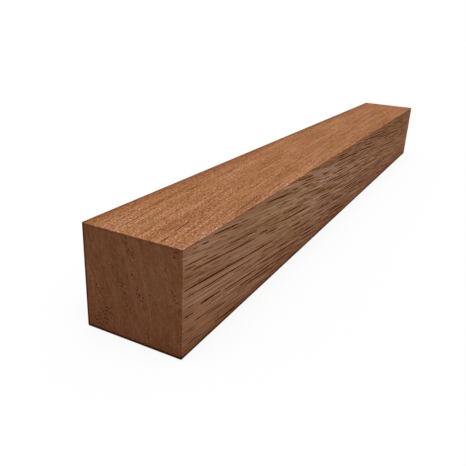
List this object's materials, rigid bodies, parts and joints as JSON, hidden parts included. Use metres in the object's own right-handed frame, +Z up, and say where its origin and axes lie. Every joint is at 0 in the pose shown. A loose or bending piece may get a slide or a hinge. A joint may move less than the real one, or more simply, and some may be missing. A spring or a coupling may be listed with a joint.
{
  "type": "wood turning blank",
  "caption": "Square-section length of open-pored reddish-brown hardwood with lightly eased edges, sawn ready to be turned on a lathe.",
  "frame": {"origin": "centre of the underside, on the floor that the blank lies on", "axes": "+X along the length from the near end in the picture to the far end, +Z up, -Y out of the long side that the picture shows"},
  "size_m": [0.4572, 0.0508, 0.0508],
  "materials": {
    "hardwood": "sawn and lightly sanded, open pores, no finish or wax"
  },
  "bodies": {
    "root": {"blank": "hardwood"}
  },
  "joints": []
}
